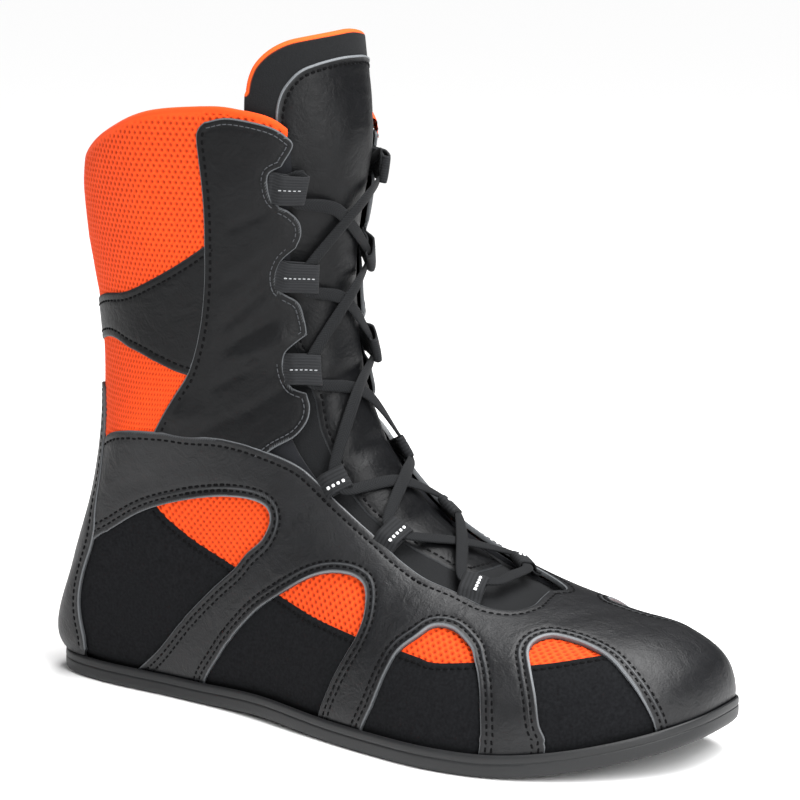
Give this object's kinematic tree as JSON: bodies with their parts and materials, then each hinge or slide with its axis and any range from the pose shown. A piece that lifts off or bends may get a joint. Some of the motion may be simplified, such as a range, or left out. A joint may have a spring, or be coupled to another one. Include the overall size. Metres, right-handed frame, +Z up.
{
  "type": "mountaineering inner boot",
  "caption": "Padded, laced inner boot of a double mountaineering boot, right foot, with a thin cup sole, leather cage, mesh shaft, webbing loops and a high tongue.",
  "frame": {"origin": "middle of the flat spot under the heel, on the floor", "axes": "+X to the toe, +Y to the inner (medial) side of this right boot, +Z up"},
  "size_m": [0.285, 0.1055, 0.258],
  "materials": {
    "sole_rubber": "matt charcoal moulded rubber",
    "insole_foam": "matt dark cloth over foam",
    "upper_leather": "soft black full-grain leather, with orange mesh and black suede-like panels",
    "tongue_leather": "soft black leather",
    "webbing": "matt grey woven webbing",
    "lace": "matt dark grey flat woven lace"
  },
  "bodies": {
    "root": {"outsole": "sole_rubber", "insole": "insole_foam", "upper": "upper_leather", "tongue": "tongue_leather", "loop_outer_1": "webbing", "loop_inner_1": "webbing", "loop_outer_2": "webbing", "loop_inner_2": "webbing", "loop_outer_3": "webbing", "loop_inner_3": "webbing", "loop_outer_4": "webbing", "loop_inner_4": "webbing", "loop_outer_5": "webbing", "loop_inner_5": "webbing", "loop_outer_6": "webbing", "loop_inner_6": "webbing", "lace_bar": "lace", "lace_cross_1": "lace", "lace_cross_2": "lace", "lace_cross_3": "lace", "lace_cross_4": "lace", "lace_cross_5": "lace"}
  },
  "joints": []
}
